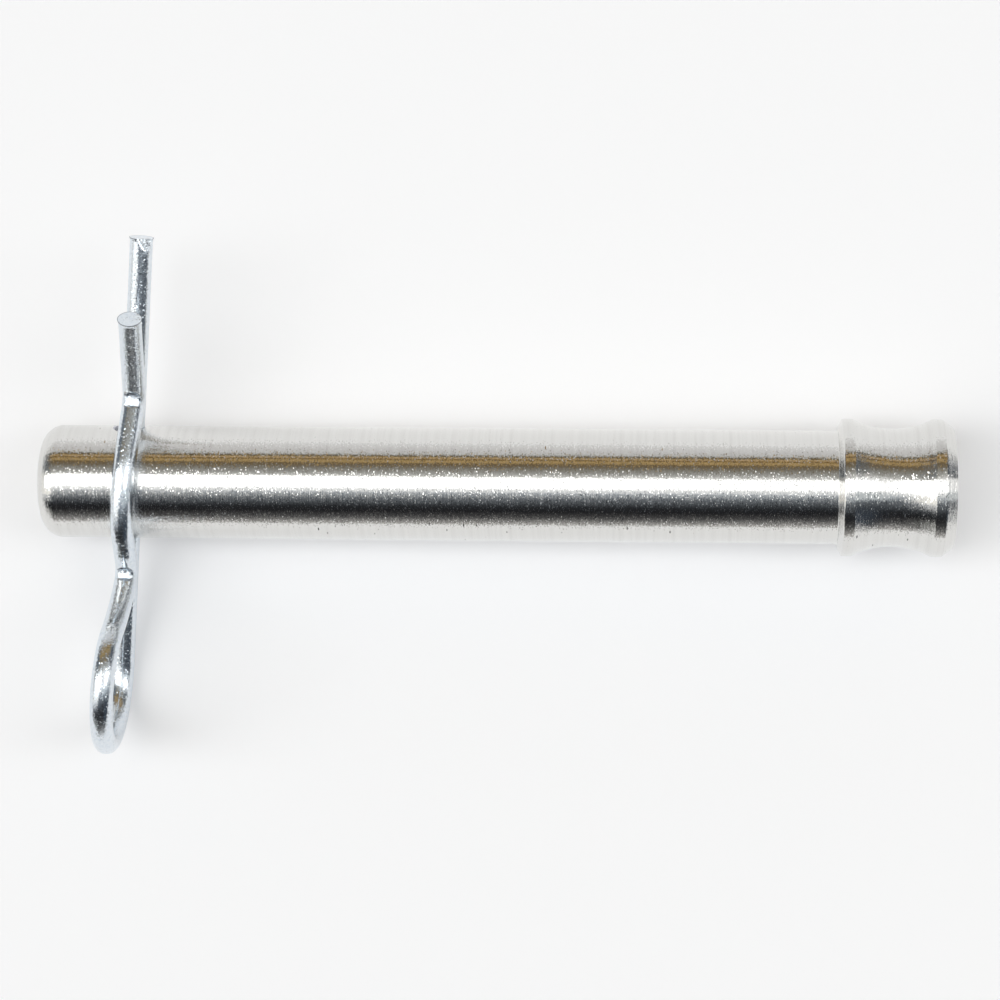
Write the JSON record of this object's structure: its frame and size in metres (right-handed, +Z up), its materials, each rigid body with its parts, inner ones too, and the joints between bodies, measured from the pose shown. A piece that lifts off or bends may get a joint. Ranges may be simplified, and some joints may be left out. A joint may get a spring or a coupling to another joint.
{
  "type": "quick release hitch pin",
  "caption": "Turned steel hitch pin with a spool-shaped finger head, a crowned tip and a cross hole that takes a bent spring-wire hairpin clip.",
  "frame": {"origin": "on the pin's axis at its shoulder, where the head meets the shank", "axes": "+X along the shank towards the head, rising 0.9 degrees; +Y across the shank towards the clip's free ends; +Z up"},
  "size_m": [0.1275, 0.0723, 0.0239],
  "materials": {
    "turned_steel": "bright turned steel with fine lathe marks",
    "zinc_wire": "bright zinc-plated spring wire, finely speckled"
  },
  "bodies": {
    "pin": {"hitch_pin": "turned_steel"},
    "clip": {"hairpin_clip": "zinc_wire"}
  },
  "joints": [
    {"name": "clip_pull", "type": "slide", "parent": "pin", "child": "clip", "axis": [-0.0727, -0.9695, -0.2342], "range_m": [0, 0.045], "deforming": ["hairpin_clip"]}
  ]
}
